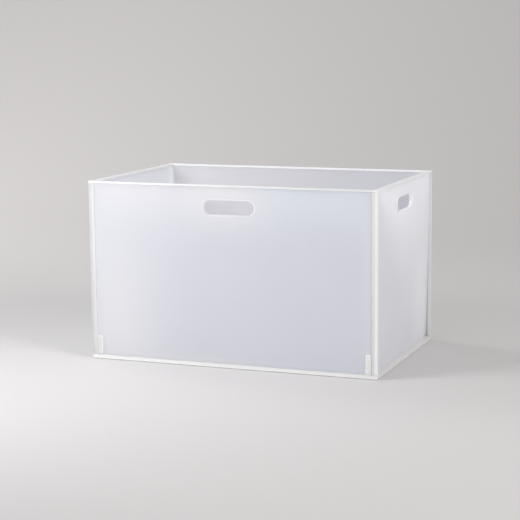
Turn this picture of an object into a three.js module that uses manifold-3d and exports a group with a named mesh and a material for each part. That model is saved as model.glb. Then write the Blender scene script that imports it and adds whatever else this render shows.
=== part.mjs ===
// Open-top storage box of frosted plastic: a base plate, four wall panels, four corner posts,
// a rim frame round the top and a corner key in each lower corner of the two long walls.
// Millimetres, +Z up. The origin is the centre of the underside, X runs along the long walls
// and the front faces -Y.
import * as THREE from 'three';
import { mergeVertices } from 'three/addons/utils/BufferGeometryUtils.js';
import Module from 'manifold-3d';

// Driving dimensions
const WIDTH = 400;
const DEPTH = 260;
const HEIGHT = 240;
const BASE_THICKNESS = 6;
const BASE_ROUNDING = 2;            // upright edges of the base
const FOOT_CHAMFER = 1.2;           // lower edge of the base, which lifts its sides off the floor
const WALL = 3;
const LONG_WALL_SETBACK = 0.6;      // outer face of the long walls behind the outer plane
const END_WALL_TOP_SETBACK = 2.8;   // outer face of the end walls, which lean in to the base
const END_WALL_FOOT_SETBACK = 6.3;
const POST_WIDTH = 8.2;             // along the long wall; the post is as deep as that wall
const RIM_HEIGHT = 2.6;
const RIM_WIDTH = 3.8;
const CORNER_ROUNDING = 1;          // upright edges of the posts and rim
const GAP = 0.3;                    // clearance between neighbouring pieces

// Hand holes: an opening with round ends and a rounded lip on both faces of the wall
const HOLE_WIDTH = 70;
const HOLE_HEIGHT = 18;
const HOLE_CENTRE_Z = 210.5;
const LIP_WIDTH = 2.4;
const LONG_WALL_LIP = 0.6;          // how far a lip stands out of the long wall
const END_WALL_LIP = 1.4;           // and out of the end walls, which are set further back
const LIP_DEPTH = 4.8;              // from a lip's outer to its inner edge
const LIP_ROUND = 1.1;

// Corner keys: a head in the long wall's lower corner and a lug that braces the end wall
const KEY_WIDTH = 7.6;
const KEY_HEIGHT = 26;
const KEY_REACH = 14;               // from the outer plane to the back of the lug
const KEY_LUG_HEIGHT = 20;

// Hidden joinery: a tongue along the top and bottom of each wall, pegs on posts and keys
const TONGUE = 1.4;
const TONGUE_END_MARGIN = 12;
const PEG_WIDTH = 3.4;
const PEG_DEPTH = 1.6;
const BASE_JOINT_DEPTH = 2.2;
const RIM_JOINT_DEPTH = 1.2;
const ROOT = 1;                     // how far a tongue or peg runs into its own piece

const CUT_PAST = 3;                 // how far a cut runs past the faces that it cuts
const CORNER_STEPS = 4;             // straight steps in the curve of an upright edge,
const HOLE_END_STEPS = 12;          // of a hole's round end
const LIP_STEPS = 2;                // and of a lip's rounding

const HALF_WIDTH = WIDTH / 2;
const HALF_DEPTH = DEPTH / 2;
const RIM_BOTTOM = HEIGHT - RIM_HEIGHT;
const WALL_BOTTOM = BASE_THICKNESS + GAP;
const WALL_TOP = RIM_BOTTOM - GAP;
const POST_DEPTH = LONG_WALL_SETBACK + WALL;
const POST_X = HALF_WIDTH - POST_WIDTH / 2;
const POST_Y = HALF_DEPTH - POST_DEPTH / 2;

// A wall is built facing -Y, with its outer plane at y = -plane and its length along X.
const LONG_WALL = {
  plane: HALF_DEPTH,
  halfLength: HALF_WIDTH - POST_WIDTH - GAP,
  topSetback: LONG_WALL_SETBACK,
  footSetback: LONG_WALL_SETBACK,
  lip: LONG_WALL_LIP,
};
const END_WALL = {
  plane: HALF_WIDTH,
  halfLength: HALF_DEPTH - POST_DEPTH - GAP,
  topSetback: END_WALL_TOP_SETBACK,
  footSetback: END_WALL_FOOT_SETBACK,
  lip: END_WALL_LIP,
};

const wasm = await Module();
wasm.setup();

// ---- solids ----------------------------------------------------------------------------

function toSolid(geometry) {
  const bare = geometry.clone();
  bare.deleteAttribute('normal');
  bare.deleteAttribute('uv');
  const merged = mergeVertices(bare, 1e-4);
  const mesh = new wasm.Mesh({
    numProp: 3,
    vertProperties: new Float32Array(merged.attributes.position.array),
    triVerts: new Uint32Array(merged.index.array),
  });
  return new wasm.Manifold(mesh);
}

function toGeometry(solid) {
  const mesh = solid.getMesh();
  const geometry = new THREE.BufferGeometry();
  geometry.setAttribute('position', new THREE.BufferAttribute(mesh.vertProperties, 3));
  geometry.setIndex(new THREE.BufferAttribute(mesh.triVerts, 1));
  geometry.computeVertexNormals();
  return geometry;
}

function block([x0, x1], [y0, y1], [z0, z1]) {
  const geometry = new THREE.BoxGeometry(x1 - x0, y1 - y0, z1 - z0);
  geometry.translate((x0 + x1) / 2, (y0 + y1) / 2, (z0 + z1) / 2);
  return toSolid(geometry);
}

// A closed outline through the corners, each [x, y, rounding].
function roundedOutline(path, corners) {
  const point = ([x, y]) => new THREE.Vector2(x, y);
  corners.forEach((corner, i) => {
    const before = point(corners.at(i - 1));
    const here = point(corner);
    const after = point(corners[(i + 1) % corners.length]);
    const start = here.clone().add(before.sub(here).setLength(corner[2]));
    const end = here.clone().add(after.sub(here).setLength(corner[2]));
    if (i === 0) path.moveTo(start.x, start.y);
    else path.lineTo(start.x, start.y);
    if (corner[2] > 0) path.quadraticCurveTo(here.x, here.y, end.x, end.y);
  });
  path.closePath();
  return path;
}

function roundedRectangle(halfX, halfY, rounding) {
  return roundedOutline(new THREE.Shape(), [
    [-halfX, -halfY, rounding],
    [halfX, -halfY, rounding],
    [halfX, halfY, rounding],
    [-halfX, halfY, rounding],
  ]);
}

// ---- walls ---------------------------------------------------------------------------------

// Distance of the wall's outer face from its outer plane at height z.
function setbackAt(wall, z) {
  const rise = (z - WALL_BOTTOM) / (WALL_TOP - WALL_BOTTOM);
  return wall.footSetback + (wall.topSetback - wall.footSetback) * rise;
}

function slab(wall) {
  const foot = -wall.plane + wall.footSetback;
  const top = -wall.plane + wall.topSetback;
  const outline = new THREE.Shape();
  outline.moveTo(foot, WALL_BOTTOM);
  outline.lineTo(foot + WALL, WALL_BOTTOM);
  outline.lineTo(top + WALL, WALL_TOP);
  outline.lineTo(top, WALL_TOP);
  outline.closePath();
  const geometry = new THREE.ExtrudeGeometry(
    outline, { depth: 2 * wall.halfLength, bevelEnabled: false });
  const alongX = new THREE.Matrix4().makeBasis(
    new THREE.Vector3(0, 1, 0), new THREE.Vector3(0, 0, 1), new THREE.Vector3(1, 0, 0));
  geometry.applyMatrix4(alongX);
  geometry.translate(-wall.halfLength, 0, 0);
  return toSolid(geometry);
}

function tongue(wall, setback, heights, clearance) {
  const middle = -wall.plane + setback + WALL / 2;
  const halfTongue = TONGUE / 2 + clearance;
  const halfLength = wall.halfLength - TONGUE_END_MARGIN + clearance;
  return block([-halfLength, halfLength], [middle - halfTongue, middle + halfTongue], heights);
}

function footTongue(wall, clearance) {
  const bottom = WALL_BOTTOM - BASE_JOINT_DEPTH - clearance;
  return tongue(wall, wall.footSetback, [bottom, WALL_BOTTOM + ROOT], clearance);
}

function topTongue(wall, clearance) {
  const top = WALL_TOP + RIM_JOINT_DEPTH + clearance;
  return tongue(wall, wall.topSetback, [WALL_TOP - ROOT, top], clearance);
}

function stadium(path, radius) {
  const straight = (HOLE_WIDTH - HOLE_HEIGHT) / 2;
  path.absarc(straight, 0, radius, -Math.PI / 2, Math.PI / 2, false);
  path.absarc(-straight, 0, radius, Math.PI / 2, 1.5 * Math.PI, false);
  path.closePath();
  return path;
}

// Turns a shape extruded from z = 0 so that it runs inwards from the wall's outer face.
function intoWall(geometry, wall, outward) {
  const lean = Math.atan2(wall.footSetback - wall.topSetback, WALL_TOP - WALL_BOTTOM);
  geometry.rotateX(-Math.PI / 2);
  geometry.translate(0, -outward, 0);
  geometry.rotateX(lean);
  geometry.translate(0, -wall.plane + setbackAt(wall, HOLE_CENTRE_Z), HOLE_CENTRE_Z);
  return toSolid(geometry);
}

function holeCutter(wall) {
  const outline = stadium(new THREE.Shape(), (HOLE_HEIGHT + LIP_WIDTH) / 2);
  const geometry = new THREE.ExtrudeGeometry(
    outline, { depth: WALL + 2 * CUT_PAST, curveSegments: HOLE_END_STEPS, bevelEnabled: false });
  return intoWall(geometry, wall, CUT_PAST);
}

function holeLip(wall) {
  const radius = HOLE_HEIGHT / 2;
  const outline = stadium(new THREE.Shape(), radius + LIP_WIDTH - LIP_ROUND);
  outline.holes.push(stadium(new THREE.Path(), radius + LIP_ROUND));
  const geometry = new THREE.ExtrudeGeometry(outline, {
    depth: LIP_DEPTH - 2 * LIP_ROUND,
    curveSegments: HOLE_END_STEPS,
    bevelThickness: LIP_ROUND,
    bevelSize: LIP_ROUND,
    bevelSegments: LIP_STEPS,
  });
  geometry.translate(0, 0, LIP_ROUND);
  return intoWall(geometry, wall, wall.lip);
}

function wallSolid(wall, hasHole) {
  const plain = slab(wall).add(footTongue(wall, 0)).add(topTongue(wall, 0));
  return hasHole ? plain.subtract(holeCutter(wall)).add(holeLip(wall)) : plain;
}

function keyNotch(side) {
  const inner = LONG_WALL.halfLength - KEY_WIDTH - GAP;
  const outer = LONG_WALL.halfLength + GAP;
  const across = side < 0 ? [-outer, -inner] : [inner, outer];
  const through = [-HALF_DEPTH - CUT_PAST, -HALF_DEPTH + POST_DEPTH + CUT_PAST];
  return block(across, through, [BASE_THICKNESS - GAP, WALL_BOTTOM + KEY_HEIGHT + GAP]);
}

function longWall(hasHole) {
  return toGeometry(wallSolid(LONG_WALL, hasHole).subtract(keyNotch(-1)).subtract(keyNotch(1)));
}

function endWall() {
  return toGeometry(wallSolid(END_WALL, true));
}

// ---- corner keys, built for the front wall; side is -1 on the left and 1 on the right -------

function cornerKey(side) {
  const outer = LONG_WALL.halfLength;
  const inner = outer - KEY_WIDTH;
  const lugOuter = HALF_WIDTH - END_WALL_FOOT_SETBACK - WALL - GAP;
  const across = (from, to) => (side < 0 ? [-to, -from] : [from, to]);
  const head = block(
    across(inner, outer),
    [-HALF_DEPTH, -HALF_DEPTH + POST_DEPTH],
    [WALL_BOTTOM, WALL_BOTTOM + KEY_HEIGHT]);
  const lug = block(
    across(inner, lugOuter),
    [-HALF_DEPTH + POST_DEPTH - ROOT, -HALF_DEPTH + KEY_REACH],
    [WALL_BOTTOM, WALL_BOTTOM + KEY_LUG_HEIGHT]);
  return toGeometry(head.add(lug).add(keyPeg(side, 0)));
}

function keyPeg(side, clearance) {
  const bottom = WALL_BOTTOM - BASE_JOINT_DEPTH - clearance;
  const x = side * (LONG_WALL.halfLength - KEY_WIDTH / 2);
  return peg([bottom, WALL_BOTTOM + ROOT], clearance).translate([x, -POST_Y, 0]);
}

// ---- corner posts, built centred on their own axis -----------------------------------------

function peg(heights, clearance) {
  const halfX = PEG_WIDTH / 2 + clearance;
  const halfY = PEG_DEPTH / 2 + clearance;
  return block([-halfX, halfX], [-halfY, halfY], heights);
}

function postPegs(clearance) {
  const bottom = WALL_BOTTOM - BASE_JOINT_DEPTH - clearance;
  return peg([bottom, WALL_TOP + RIM_JOINT_DEPTH + clearance], clearance);
}

function postGeometry() {
  const outline = roundedRectangle(POST_WIDTH / 2, POST_DEPTH / 2, CORNER_ROUNDING);
  const geometry = new THREE.ExtrudeGeometry(outline, {
    depth: WALL_TOP - WALL_BOTTOM,
    curveSegments: CORNER_STEPS,
    bevelEnabled: false,
  });
  geometry.translate(0, 0, WALL_BOTTOM);
  return toGeometry(toSolid(geometry).add(postPegs(0)));
}

// ---- base and rim, cut by the tongues and pegs that stand in them --------------------------

function joinerySockets() {
  const sockets = corners.map(({ x, y }) => postPegs(GAP).translate([x * POST_X, y * POST_Y, 0]));
  for (const turn of [0, 180]) {
    for (const socket of [footTongue, topTongue]) {
      sockets.push(socket(LONG_WALL, GAP).rotate([0, 0, turn]));
      sockets.push(socket(END_WALL, GAP).rotate([0, 0, turn + 90]));
    }
    sockets.push(keyPeg(-1, GAP).rotate([0, 0, turn]));
    sockets.push(keyPeg(1, GAP).rotate([0, 0, turn]));
  }
  return sockets;
}

function withSockets(solid) {
  return toGeometry(joinerySockets().reduce((cut, socket) => cut.subtract(socket), solid));
}

// Only the lower edge is chamfered: the plate is made too thick and its upper chamfer cut away.
function baseGeometry() {
  const outline = roundedRectangle(
    HALF_WIDTH - FOOT_CHAMFER, HALF_DEPTH - FOOT_CHAMFER, BASE_ROUNDING - FOOT_CHAMFER);
  const geometry = new THREE.ExtrudeGeometry(outline, {
    depth: BASE_THICKNESS,
    curveSegments: CORNER_STEPS,
    bevelThickness: FOOT_CHAMFER,
    bevelSize: FOOT_CHAMFER,
    bevelSegments: 1,
  });
  geometry.translate(0, 0, FOOT_CHAMFER);
  const upperPart = block(
    [-HALF_WIDTH - CUT_PAST, HALF_WIDTH + CUT_PAST],
    [-HALF_DEPTH - CUT_PAST, HALF_DEPTH + CUT_PAST],
    [BASE_THICKNESS, BASE_THICKNESS + 2 * FOOT_CHAMFER + CUT_PAST]);
  return withSockets(toSolid(geometry).subtract(upperPart));
}

// The end bars stand over the end walls, so the long bars run past them at all four corners.
function rimGeometry() {
  const endBarMiddle = HALF_WIDTH - END_WALL_TOP_SETBACK - WALL / 2;
  const endBarOuter = endBarMiddle + RIM_WIDTH / 2;
  const openingX = endBarMiddle - RIM_WIDTH / 2;
  const openingY = HALF_DEPTH - RIM_WIDTH;
  const outline = roundedOutline(new THREE.Shape(), [
    [-HALF_WIDTH, -HALF_DEPTH, CORNER_ROUNDING],
    [HALF_WIDTH, -HALF_DEPTH, CORNER_ROUNDING],
    [HALF_WIDTH, -openingY, CORNER_ROUNDING],
    [endBarOuter, -openingY, 0],
    [endBarOuter, openingY, 0],
    [HALF_WIDTH, openingY, CORNER_ROUNDING],
    [HALF_WIDTH, HALF_DEPTH, CORNER_ROUNDING],
    [-HALF_WIDTH, HALF_DEPTH, CORNER_ROUNDING],
    [-HALF_WIDTH, openingY, CORNER_ROUNDING],
    [-endBarOuter, openingY, 0],
    [-endBarOuter, -openingY, 0],
    [-HALF_WIDTH, -openingY, CORNER_ROUNDING],
  ]);
  outline.holes.push(roundedOutline(new THREE.Path(), [
    [-openingX, -openingY, CORNER_ROUNDING],
    [openingX, -openingY, CORNER_ROUNDING],
    [openingX, openingY, CORNER_ROUNDING],
    [-openingX, openingY, CORNER_ROUNDING],
  ]));
  const geometry = new THREE.ExtrudeGeometry(
    outline, { depth: RIM_HEIGHT, curveSegments: CORNER_STEPS, bevelEnabled: false });
  geometry.translate(0, 0, RIM_BOTTOM);
  return withSockets(toSolid(geometry));
}

// ---- assembly ------------------------------------------------------------------------------

const corners = [
  { name: 'front_left', x: -1, y: -1 },
  { name: 'front_right', x: 1, y: -1 },
  { name: 'back_right', x: 1, y: 1 },
  { name: 'back_left', x: -1, y: 1 },
];

const PANEL_FINISH = { color: 0xdfe1e6, roughness: 0.55, metalness: 0 };
const EDGE_FINISH = { color: 0xf4f4f2, roughness: 0.4, metalness: 0 };

function piece(name, geometry, finish) {
  const mesh = new THREE.Mesh(geometry, new THREE.MeshStandardMaterial(finish));
  mesh.name = name;
  return mesh;
}

function walls() {
  const group = new THREE.Group();
  const placed = [
    ['front_panel', longWall(true), 0],
    ['back_panel', longWall(false), Math.PI],
    ['left_panel', endWall(), -Math.PI / 2],
    ['right_panel', endWall(), Math.PI / 2],
  ];
  for (const [name, geometry, turn] of placed) {
    const panel = piece(name, geometry, PANEL_FINISH);
    panel.rotation.z = turn;
    group.add(panel);
  }
  return group;
}

function posts() {
  const group = new THREE.Group();
  for (const { name, x, y } of corners) {
    const post = piece(`post_${name}`, postGeometry(), EDGE_FINISH);
    post.position.set(x * POST_X, y * POST_Y, 0);
    group.add(post);
  }
  return group;
}

// Turned half round, the key of a front corner fits the corner diagonally opposite.
function keys() {
  const group = new THREE.Group();
  for (const { name, x, y } of corners) {
    const key = piece(`key_${name}`, cornerKey(y < 0 ? x : -x), PANEL_FINISH);
    key.rotation.z = y < 0 ? 0 : Math.PI;
    group.add(key);
  }
  return group;
}

const box = new THREE.Group();
box.add(piece('base_panel', baseGeometry(), EDGE_FINISH));
box.add(walls());
box.add(posts());
box.add(piece('rim_frame', rimGeometry(), EDGE_FINISH));
box.add(keys());

export default box;
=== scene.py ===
"""Looks of the open-top storage box: frosted plastic walls between whiter posts, rim and base, with light
and shade painted into their colours.

Lengths are in metres in the row frame, where the front wall faces -Y. A name that ends in FADE is a
pair of places: where something hasn't begun yet, and where it is full.
"""
import math

import bpy
from mathutils import Matrix, Vector


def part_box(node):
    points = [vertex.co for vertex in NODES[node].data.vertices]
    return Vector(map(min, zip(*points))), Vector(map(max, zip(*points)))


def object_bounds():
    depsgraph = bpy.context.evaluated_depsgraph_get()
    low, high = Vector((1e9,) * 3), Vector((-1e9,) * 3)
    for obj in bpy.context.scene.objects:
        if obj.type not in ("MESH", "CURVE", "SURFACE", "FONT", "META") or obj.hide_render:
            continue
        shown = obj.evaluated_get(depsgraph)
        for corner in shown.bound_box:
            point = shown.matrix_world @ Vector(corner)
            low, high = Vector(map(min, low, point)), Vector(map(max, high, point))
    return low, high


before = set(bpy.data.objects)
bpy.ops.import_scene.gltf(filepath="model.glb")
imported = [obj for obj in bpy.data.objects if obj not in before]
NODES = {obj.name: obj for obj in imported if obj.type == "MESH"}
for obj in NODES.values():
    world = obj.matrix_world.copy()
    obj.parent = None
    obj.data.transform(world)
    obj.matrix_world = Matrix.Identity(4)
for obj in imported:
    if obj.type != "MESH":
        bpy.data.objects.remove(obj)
CAD_LOW, CAD_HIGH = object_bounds()


# ---- camera ------------------------------------------------------------------------------

CAMERA_PLACE = Vector((0.7425, -1.929, 0.45))
CAMERA_YAW = 21.24      # degrees, as are the pitch and the roll
CAMERA_PITCH = 8.96
CAMERA_ROLL = -0.52
CAMERA_LENS = 105.9     # millimetres, as is the sensor's width
SENSOR_WIDTH = 36.0


def make_camera():
    yaw, pitch, roll = (math.radians(a) for a in (CAMERA_YAW, CAMERA_PITCH, CAMERA_ROLL))
    ahead = Vector((
        -math.sin(yaw) * math.cos(pitch), math.cos(yaw) * math.cos(pitch), -math.sin(pitch)))
    level = Vector((math.cos(yaw), math.sin(yaw), 0.0))
    above = level.cross(ahead)
    right = math.cos(roll) * level + math.sin(roll) * above
    up = -math.sin(roll) * level + math.cos(roll) * above
    turn = Matrix((right, up, -ahead)).transposed()
    data = bpy.data.cameras.new("camera")
    data.lens = CAMERA_LENS
    data.sensor_width = SENSOR_WIDTH
    camera = bpy.data.objects.new("camera", data)
    camera.matrix_world = Matrix.Translation(CAMERA_PLACE) @ turn.to_4x4()
    bpy.context.scene.collection.objects.link(camera)
    bpy.context.scene.camera = camera


# ---- node helpers ------------------------------------------------------------------------

NOISE_LOW, NOISE_HIGH = 0.3, 0.7    # nearly all of a noise texture lies between these


class Tree:
    """A material's node tree with short calls for adding and linking nodes."""

    def __init__(self, name):
        self.material = bpy.data.materials.new(name)
        self.material.use_nodes = True
        self.nodes = self.material.node_tree.nodes
        self.nodes.clear()
        self.links = self.material.node_tree.links

    def add(self, kind, **settings):
        node = self.nodes.new("ShaderNode" + kind)
        for key, value in settings.items():
            setattr(node, key, value)
        return node

    def link(self, source, target):
        self.links.new(source, target)

    def feed(self, value, socket):
        """Link a node's output to a socket, or set the socket to a number or colour."""
        if isinstance(value, bpy.types.NodeSocket):
            self.link(value, socket)
        elif isinstance(value, tuple):
            socket.default_value = (*value, 1.0)
        elif value is not None:
            socket.default_value = value

    def places(self):
        return self.add("TexCoord").outputs["Object"]

    def axes(self):
        """Outputs X, Y and Z: where a point of the piece lies."""
        node = self.add("SeparateXYZ")
        self.link(self.places(), node.inputs["Vector"])
        return node.outputs

    def noise(self, scale, detail=2.0):
        node = self.add("TexNoise")
        node.inputs["Scale"].default_value = scale
        node.inputs["Detail"].default_value = detail
        self.link(self.places(), node.inputs["Vector"])
        return node.outputs["Fac"]

    def spread(self, value, low, high):
        """Stretch a noise so that it runs from low to high."""
        node = self.add("MapRange")
        node.inputs["From Min"].default_value = NOISE_LOW
        node.inputs["From Max"].default_value = NOISE_HIGH
        node.inputs["To Min"].default_value = low
        node.inputs["To Max"].default_value = high
        self.link(value, node.inputs["Value"])
        return node.outputs["Result"]

    def fade(self, value, zero_at, one_at):
        """0 up to one place and 1 from the other on, with a smooth change between them."""
        node = self.add("MapRange", interpolation_type="SMOOTHSTEP")
        node.inputs["From Min"].default_value = zero_at
        node.inputs["From Max"].default_value = one_at
        self.link(value, node.inputs["Value"])
        return node.outputs["Result"]

    def maths(self, operation, first, second=None):
        node = self.add("Math", operation=operation)
        for socket, value in zip(node.inputs, (first, second)):
            self.feed(value, socket)
        return node.outputs["Value"]

    def mix_colours(self, factor, first, second):
        node = self.add("Mix", data_type="RGBA")
        self.link(factor, node.inputs["Factor"])
        colours = [socket for socket in node.inputs if socket.type == "RGBA"]
        self.feed(first, colours[0])
        self.feed(second, colours[1])
        return [socket for socket in node.outputs if socket.type == "RGBA"][0]

    def bump(self, height, strength, distance):
        node = self.add("Bump")
        node.inputs["Strength"].default_value = strength
        node.inputs["Distance"].default_value = distance
        self.link(height, node.inputs["Height"])
        return node.outputs["Normal"]


# ---- the plastic that every piece shares -------------------------------------------------

PLASTIC_IOR = 1.49
CLOUD_SCALE = 7.0
GRAIN_SCALE = 2600.0
GRAIN_DETAIL = 3.0
GRAIN_DEPTH = 0.0001
ROUGHNESS_CHANGE = 0.05
GREY_TINT = 0.005       # how much bluer than neutral a grey is


def cloudy(tree, first, second):
    """A colour that drifts between two others over the length of a hand."""
    return tree.mix_colours(tree.spread(tree.noise(CLOUD_SCALE), 0.0, 1.0), first, second)


def grey(level):
    return (level, level, min(1.0, level + GREY_TINT))


def frosted(tree, colour, see_through, roughness, grain):
    """Translucent plastic with a fine matte grain; part of the light passes through it."""
    matte = tree.noise(GRAIN_SCALE, GRAIN_DETAIL)
    normal = tree.bump(matte, grain, GRAIN_DEPTH)
    varied = tree.spread(matte, roughness - ROUGHNESS_CHANGE, roughness + ROUGHNESS_CHANGE)
    surface = tree.add("BsdfPrincipled")
    surface.inputs["IOR"].default_value = PLASTIC_IOR
    tree.link(varied, surface.inputs["Roughness"])
    tree.link(colour, surface.inputs["Base Color"])
    tree.link(normal, surface.inputs["Normal"])
    glow = tree.add("BsdfTranslucent")
    tree.link(colour, glow.inputs["Color"])
    both = tree.add("MixShader")
    both.inputs["Fac"].default_value = see_through
    tree.link(surface.outputs["BSDF"], both.inputs[1])
    tree.link(glow.outputs["BSDF"], both.inputs[2])
    output = tree.add("OutputMaterial")
    tree.link(both.outputs["Shader"], output.inputs["Surface"])
    return tree.material


# ---- walls -------------------------------------------------------------------------------

WALLS = {
    # level axis, hand hole, colour, whose differences between the walls are painted light, colour of the
    # painted light towards the top and how far down that reaches
    "front_panel": ("X", True, (0.882, 0.89, 0.93), (0.99, 0.99, 1.0), 0.085),
    "back_panel": ("X", False, (0.88, 0.89, 0.925), (0.96, 0.965, 0.985), 0.085),
    "left_panel": ("Y", True, (0.88, 0.885, 0.915), (0.925, 0.925, 0.945), 0.13),
    "right_panel": ("Y", True, (0.89, 0.89, 0.91), (0.935, 0.935, 0.95), 0.13),
}
WALL_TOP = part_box("rim_frame")[0][2]    # what shows of a wall ends under the rim
CLOUD_CHANGE = 0.012            # how much whiter the clouds in a sheet are

EDGE_FADE = (0.018, 0.0)        # distance to a side or to the foot, where a painted glow stands in for light leaking out
PAINTED_EDGE_GLOW_COLOUR = (0.93, 0.935, 0.96)

TOP_SIDE_FADE = (-0.15, 0.0)    # rightwards, the strength of the painted light on the top
TOP_LEAST = 0.55                # its strength on the left
BLUER_FADE = (0.0, 0.09)        # rightwards, the painted top light of the front wall turns bluer
BLUER_COLOUR = (0.93, 0.96, 1.0)

# painted light in a lower corner of some walls
PAINTED_CORNER_LIGHT_COLOUR = (0.962, 0.964, 0.976)
PAINTED_CORNER_LIGHT_FADES = {
    # walls with painted light in one lower corner: along the wall towards it, and downwards
    "front_panel": ((-0.06, -0.17), (0.30, 0.03)),
    "right_panel": ((0.03, 0.09), (0.18, 0.06)),
}

LEVEL_PART = (1.0, 1.0, 0.0)
OUTWARD_FADE = (-0.01, 0.01)
# painted shade on the inner faces of the walls
PAINTED_INSIDE_SHADE = (0.87, 0.875, 0.905)
PAINTED_INSIDE_LIGHT_LEFT = (0.913, 0.908, 0.932)     # painted light on the inside of a long wall towards its left end
PAINTED_INSIDE_SHADE_RIGHT = (0.85, 0.853, 0.887)     # and painted shade towards its right end
PAINTED_INSIDE_FADE = (0.12, -0.12)             # leftwards

HOLE_STRAIGHT = 0.026           # half the length of the hand hole's straight edges
HOLE_HALF_HEIGHT = 0.009
HOLE_LEVEL = 0.2105
# painted highlight on the lip round a hand hole
LIP_HIGHLIGHT_COLOUR = (0.96, 0.965, 0.99)
LIP_FADE = (0.0026, 0.0022)     # distance to the hole's outline
UPPER_LIP_FADE = (-0.006, 0.002)    # upwards past the hole's middle, on a long wall


def painted_side_glow(tree, axes, along, half_length):
    """Painted glow: 1 at a wall's upright edges, fading to 0 further in."""
    to_side = tree.maths("SUBTRACT", half_length, tree.maths("ABSOLUTE", axes[along]))
    return tree.fade(to_side, *EDGE_FADE)


def painted_top_and_foot_light(tree, axes, top_light_reach):
    """Painted light: 1 along a wall's foot and towards its top, where it is weaker on the left."""
    at_foot = tree.fade(axes["Z"], *EDGE_FADE)
    at_top = tree.fade(tree.maths("SUBTRACT", WALL_TOP, axes["Z"]), top_light_reach, 0.0)
    strength = tree.maths("MAXIMUM", tree.fade(axes["X"], *TOP_SIDE_FADE), TOP_LEAST)
    return tree.maths("MAXIMUM", tree.maths("MULTIPLY", at_top, strength), at_foot)


def painted_corner_light(tree, axes, along, sideways_fade, downwards_fade):
    """Painted light: 1 in one lower corner of a wall, fading to 0 further along it and higher up."""
    sideways = tree.fade(axes[along], *sideways_fade)
    downwards = tree.fade(axes["Z"], *downwards_fade)
    return tree.maths("MULTIPLY", sideways, downwards)


def hole_lip_highlight(tree, axes, along):
    """Painted highlight: 1 on the lip round the hand hole and 0 away from it; on a long wall, its upper
    half only.
    """
    side = tree.maths("ABSOLUTE", axes[along])
    past_straight = tree.maths("MAXIMUM", tree.maths("SUBTRACT", side, HOLE_STRAIGHT), 0.0)
    above = tree.maths("SUBTRACT", axes["Z"], HOLE_LEVEL)
    squares = tree.maths(
        "ADD", tree.maths("MULTIPLY", past_straight, past_straight), tree.maths("MULTIPLY", above, above))
    from_outline = tree.maths("SUBTRACT", tree.maths("SQRT", squares), HOLE_HALF_HEIGHT)
    on_lip = tree.fade(from_outline, *LIP_FADE)
    if along == "X":
        return tree.maths("MULTIPLY", on_lip, tree.fade(above, *UPPER_LIP_FADE))
    return on_lip


def outer_face(tree):
    """1 on faces turned away from the box's middle and 0 on those turned towards it."""
    coordinates = tree.add("TexCoord")
    level = tree.add("VectorMath", operation="MULTIPLY")
    level.inputs[1].default_value = LEVEL_PART
    tree.link(coordinates.outputs["Object"], level.inputs[0])
    outward = tree.add("VectorMath", operation="DOT_PRODUCT")
    tree.link(level.outputs["Vector"], outward.inputs[0])
    tree.link(coordinates.outputs["Normal"], outward.inputs[1])
    return tree.fade(outward.outputs["Value"], *OUTWARD_FADE)


def painted_inside_light_and_shade(tree, axes, along):
    """Painted shade on a wall's inner face, which on a long wall is painted lighter towards the left."""
    if along == "Y":
        return PAINTED_INSIDE_SHADE
    return tree.mix_colours(tree.fade(axes["X"], *PAINTED_INSIDE_FADE), PAINTED_INSIDE_SHADE_RIGHT, PAINTED_INSIDE_LIGHT_LEFT)


def wall_sheet(name, along, has_hole, core, top_light_colour, top_light_reach):
    """Frosted sheet of one wall, with painted light and shade in its colour; along is the wall's own
    level axis.
    """
    tree = Tree(name + "_sheet")
    axes = tree.axes()
    half_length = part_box(name)[1]["XY".index(along)]
    colour = cloudy(tree, core, tuple(level + CLOUD_CHANGE for level in core))
    # painted light in one lower corner
    if name in PAINTED_CORNER_LIGHT_FADES:
        glow = painted_corner_light(tree, axes, along, *PAINTED_CORNER_LIGHT_FADES[name])
        colour = tree.mix_colours(glow, colour, PAINTED_CORNER_LIGHT_COLOUR)
    if name == "front_panel":
        # the painted top light of the front wall turns bluer rightwards
        top_light_colour = tree.mix_colours(tree.fade(axes["X"], *BLUER_FADE), top_light_colour, BLUER_COLOUR)
    # painted light towards the top and a painted glow along the foot
    colour = tree.mix_colours(painted_top_and_foot_light(tree, axes, top_light_reach), colour, top_light_colour)
    # painted shade on the faces turned towards the box's middle
    colour = tree.mix_colours(outer_face(tree), painted_inside_light_and_shade(tree, axes, along), colour)
    # painted glow along the upright edges
    colour = tree.mix_colours(painted_side_glow(tree, axes, along, half_length), colour, PAINTED_EDGE_GLOW_COLOUR)
    # painted highlight round the hand hole
    if has_hole:
        colour = tree.mix_colours(hole_lip_highlight(tree, axes, along), colour, LIP_HIGHLIGHT_COLOUR)
    return frosted(tree, colour, see_through=0.62, roughness=0.5, grain=0.25)


# ---- rim and base ------------------------------------------------------------------------

RIM_CLOUDS = ((0.86, 0.865, 0.88), (0.88, 0.88, 0.89))
# painted light towards the back of the rim and on its end bars
RIM_BACK_LIGHT_COLOUR = (0.96, 0.965, 0.98)
RIM_BACK_FADE = (-0.1, 0.1)     # backwards
END_BAR_LIGHT_COLOUR = (0.985, 0.985, 0.995)
END_BAR_FADE = (CAD_HIGH[0] - 0.008, CAD_HIGH[0] - 0.006)

BASE_ROUND = 0.0004
BASE_CLOUDS = ((0.86, 0.86, 0.86), (0.88, 0.88, 0.88))
# painted highlight low on the base's edge
BASE_LOW_HIGHLIGHT_COLOUR = (0.98, 0.98, 0.98)
BASE_LOW_FADE = (0.0058, 0.0015)        # downwards
# painted shade on the base's ends
BASE_END_SHADE_COLOUR = (0.83, 0.83, 0.85)
BASE_END_FADE = (CAD_HIGH[0] - 0.0004, CAD_HIGH[0] - 0.0002)
# painted contact shadow on the lower chamfer
BASE_CHAMFER_SHADOW_COLOUR = (0.84, 0.84, 0.84)
BASE_CHAMFER_FADE = (0.0012, 0.0008)    # downwards


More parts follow.
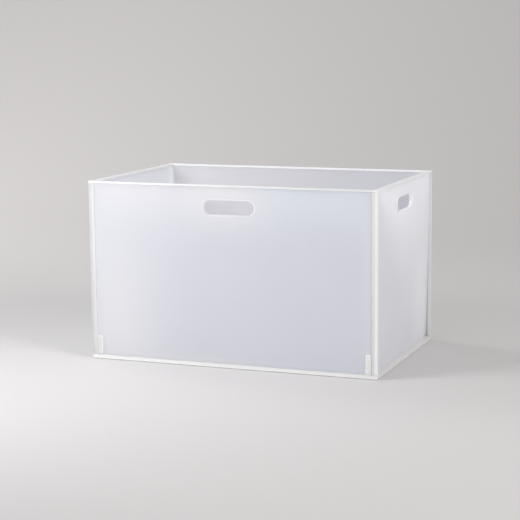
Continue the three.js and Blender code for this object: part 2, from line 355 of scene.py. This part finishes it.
def rim_edging():
    """Plastic of the rim with painted light: least white along the front, whitest on the two end bars."""
    tree = Tree("rim_edging")
    axes = tree.axes()
    colour = cloudy(tree, *RIM_CLOUDS)
    # painted light towards the back
    colour = tree.mix_colours(tree.fade(axes["Y"], *RIM_BACK_FADE), colour, RIM_BACK_LIGHT_COLOUR)
    # painted light on the two end bars
    end_bar = tree.fade(tree.maths("ABSOLUTE", axes["X"]), *END_BAR_FADE)
    colour = tree.mix_colours(end_bar, colour, END_BAR_LIGHT_COLOUR)
    return frosted(tree, colour, see_through=0.12, roughness=0.3, grain=0.1)


def base_plate():
    """Plastic of the base: a painted highlight whitens its edge downwards, painted shade darkens its ends
    and a painted contact shadow its lower chamfer.
    """
    tree = Tree("base_plate")
    axes = tree.axes()
    colour = cloudy(tree, *BASE_CLOUDS)
    # painted highlight low on the edge
    colour = tree.mix_colours(tree.fade(axes["Z"], *BASE_LOW_FADE), colour, BASE_LOW_HIGHLIGHT_COLOUR)
    # painted shade on the ends
    end = tree.fade(tree.maths("ABSOLUTE", axes["X"]), *BASE_END_FADE)
    colour = tree.mix_colours(end, colour, BASE_END_SHADE_COLOUR)
    # painted contact shadow on the lower chamfer
    colour = tree.mix_colours(tree.fade(axes["Z"], *BASE_CHAMFER_FADE), colour, BASE_CHAMFER_SHADOW_COLOUR)
    return frosted(tree, colour, see_through=0.12, roughness=0.4, grain=0.15)


# ---- corner posts and keys ---------------------------------------------------------------

POSTS = {
    # how white each corner post is at its top and at its foot, which differ from post to post as painted
    # light and shade, and how much light passes through it
    "post_front_left": (0.77, 0.76, 0.45),
    "post_front_right": (0.83, 0.76, 0.15),
    "post_back_left": (0.95, 0.93, 0.1),
    "post_back_right": (0.80, 0.58, 0.4),
}
POST_WHITEST = 0.98
POST_CLOUD_SCALE = 30.0
POST_CLOUD_SHARE = 0.15
HIGHLIGHT_LINE_FADE = (0.0025, 0.0055)    # distance from a post's left edge
HIGHLIGHT_LINE_CHANGE = 0.12              # how much whiter its painted highlight on the right half is

KEYS = {
    # how white each corner key is, which differs from key to key as painted light and shade
    "key_front_left": 0.80,
    "key_front_right": 0.90,
    "key_back_left": 0.85,
    "key_back_right": 0.85,
}
KEY_ROUND = 0.001
KEY_WHITEST = 0.99
KEY_CLOUD_CHANGE = 0.02
KEY_HIGHLIGHT_FADE = (0.0025, 0.0015)      # distance to a key's inner edge or its top, where the painted highlight lies
KEY_HIGHLIGHT_CHANGE = 0.1                 # how much whiter the painted highlight is


def post_strip(name, top, foot, see_through):
    """Plastic of a corner post with painted light: whiter towards its top and a painted highlight along
    its right half.
    """
    tree = Tree(name + "_strip")
    axes = tree.axes()
    # painted light whitening the post towards its top
    rise = tree.fade(axes["Z"], 0.0, WALL_TOP)
    colour = tree.mix_colours(rise, grey(foot), grey(top))
    # painted highlight along the right half
    from_left = tree.maths("SUBTRACT", axes["X"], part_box(name)[0][0])
    highlight_line_colour = grey(min(POST_WHITEST, top + HIGHLIGHT_LINE_CHANGE))
    colour = tree.mix_colours(tree.fade(from_left, *HIGHLIGHT_LINE_FADE), colour, highlight_line_colour)
    clouds = tree.spread(tree.noise(POST_CLOUD_SCALE), 0.0, POST_CLOUD_SHARE)
    colour = tree.mix_colours(clouds, colour, grey(POST_WHITEST))
    return frosted(tree, colour, see_through, roughness=0.3, grain=0.1)


def key_block(name, level):
    """Plastic of a corner key with a painted highlight along its inner edge and its top."""
    tree = Tree(name + "_block")
    axes = tree.axes()
    low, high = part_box(name)
    inner_edge = min(abs(low[0]), abs(high[0]))
    to_inner_edge = tree.maths("SUBTRACT", tree.maths("ABSOLUTE", axes["X"]), inner_edge)
    to_top = tree.maths("SUBTRACT", high[2], axes["Z"])
    # painted highlight along the inner edge and the top
    painted_highlight = tree.maths(
        "MAXIMUM", tree.fade(to_inner_edge, *KEY_HIGHLIGHT_FADE), tree.fade(to_top, *KEY_HIGHLIGHT_FADE))
    highlight_colour = grey(min(KEY_WHITEST, level + KEY_HIGHLIGHT_CHANGE))
    colour = cloudy(tree, grey(level), grey(level + KEY_CLOUD_CHANGE))
    colour = tree.mix_colours(painted_highlight, colour, highlight_colour)
    return frosted(tree, colour, see_through=0.2, roughness=0.4, grain=0.2)


# ---- dressing the CAD nodes --------------------------------------------------------------

EDGE_ROUND = 0.0003             # radius of the edges of most pieces
WELD_DISTANCE = 0.00001
FLAT_ANGLE = math.radians(1)
SHARP_ANGLE = math.radians(30)


def dress(name, material, edge_round=EDGE_ROUND):
    node = NODES[name]
    node.data.materials.clear()
    node.data.materials.append(material)
    soften_edges(node, edge_round)


def soften_edges(node, edge_round):
    """Join the triangles of each flat face, then round the edges between the faces."""
    weld = node.modifiers.new("weld", "WELD")
    weld.merge_threshold = WELD_DISTANCE
    flatten = node.modifiers.new("whole_faces", "DECIMATE")
    flatten.decimate_type = "DISSOLVE"
    flatten.angle_limit = FLAT_ANGLE
    bevel = node.modifiers.new("rounded_edges", "BEVEL")
    bevel.width = edge_round
    bevel.segments = 2
    bevel.limit_method = "ANGLE"
    bevel.angle_limit = SHARP_ANGLE
    bevel.loop_slide = False
    bevel.harden_normals = True


# ---- stage -------------------------------------------------------------------------------

BACKDROP_COLOUR = (0.64, 0.628, 0.627)
BACKDROP_ROUGHNESS = 0.8
BACKDROP_HALF_WIDTH = 6.0
BACKDROP_HEIGHT = 5.0
FLOOR_FRONT = -6.0
WALL_BEHIND = 3.2
BEND_RADIUS = 2.2
BEND_STEPS = 24

LIGHTS = {
    # name: place, aim, size, watts, colour
    "key": ((-0.45, -0.55, 0.6), (0.0, -0.1, 0.35), 0.4, 3.9, (0.98, 0.99, 1.0)),
    "low": ((-0.5, -0.7, 0.11), (-0.16, -0.13, 0.12), 0.18, 0.5, (0.98, 0.99, 1.0)),
    "right": ((1.8, -0.8, 1.2), (0.0, 0.0, 0.1), 1.0, 22.8, (1.0, 0.975, 0.955)),
    "left": ((-2.0, 0.2, 0.9), (0.0, 0.0, 0.1), 1.0, 5.1, (1.0, 1.0, 1.0)),
    "behind": ((-1.1, 0.5, 1.2), (-0.9, 1.1, 0.0), 0.8, 4.4, (1.0, 0.98, 0.97)),
    "backdrop_left": ((-2.2, 0.9, 1.2), (-1.6, 3.0, 0.3), 1.5, 11.2, (1.0, 0.97, 0.96)),
    "backdrop_top": ((-1.5, 0.6, 2.0), (-0.3, 3.2, 1.0), 1.0, 4.0, (1.0, 0.97, 0.96)),
}
SKY_COLOUR = (1.0, 1.0, 1.0, 1.0)
SKY_STRENGTH = 0.475


def plain_paint(name, colour, roughness):
    tree = Tree(name)
    surface = tree.add("BsdfPrincipled")
    tree.feed(colour, surface.inputs["Base Color"])
    tree.feed(roughness, surface.inputs["Roughness"])
    output = tree.add("OutputMaterial")
    tree.link(surface.outputs["BSDF"], output.inputs["Surface"])
    return tree.material


def make_backdrop():
    """One sweep: floor, a wide curve and a wall behind."""
    bend_start = WALL_BEHIND - BEND_RADIUS
    outline = [(FLOOR_FRONT, 0.0), (bend_start, 0.0)]
    for step in range(1, BEND_STEPS + 1):
        angle = math.radians(90 * step / BEND_STEPS)
        outline.append((bend_start + BEND_RADIUS * math.sin(angle), BEND_RADIUS * (1 - math.cos(angle))))
    outline.append((WALL_BEHIND, BACKDROP_HEIGHT))
    points = [(x, y, z) for y, z in outline for x in (-BACKDROP_HALF_WIDTH, BACKDROP_HALF_WIDTH)]
    faces = [(2 * i, 2 * i + 1, 2 * i + 3, 2 * i + 2) for i in range(len(outline) - 1)]
    mesh = bpy.data.meshes.new("backdrop")
    mesh.from_pydata(points, [], faces)
    for polygon in mesh.polygons:
        polygon.use_smooth = True
    mesh.materials.append(plain_paint("backdrop", BACKDROP_COLOUR, BACKDROP_ROUGHNESS))
    sweep = bpy.data.objects.new("backdrop", mesh)
    bpy.context.scene.collection.objects.link(sweep)


def area_light(name, place, aim, size, watts, colour):
    data = bpy.data.lights.new(name, "AREA")
    data.size = size
    data.energy = watts
    data.color = colour
    light = bpy.data.objects.new(name, data)
    light.location = place
    light.visible_camera = False
    light.rotation_mode = "QUATERNION"
    light.rotation_quaternion = (Vector(aim) - Vector(place)).to_track_quat("-Z", "Y")
    bpy.context.scene.collection.objects.link(light)


def make_sky():
    world = bpy.data.worlds.new("studio")
    world.use_nodes = True
    sky = world.node_tree.nodes["Background"]
    sky.inputs["Color"].default_value = SKY_COLOUR
    sky.inputs["Strength"].default_value = SKY_STRENGTH
    bpy.context.scene.world = world


def make_light():
    for name, settings in LIGHTS.items():
        area_light(name, *settings)
    make_sky()
    bpy.context.scene.view_settings.view_transform = "Standard"


# ---- the scene ---------------------------------------------------------------------------

make_camera()
make_backdrop()
make_light()
for wall, finish in WALLS.items():
    dress(wall, wall_sheet(wall, *finish))
dress("base_panel", base_plate(), BASE_ROUND)
dress("rim_frame", rim_edging())
for post, finish in POSTS.items():
    dress(post, post_strip(post, *finish))
for key, level in KEYS.items():
    dress(key, key_block(key, level), KEY_ROUND)
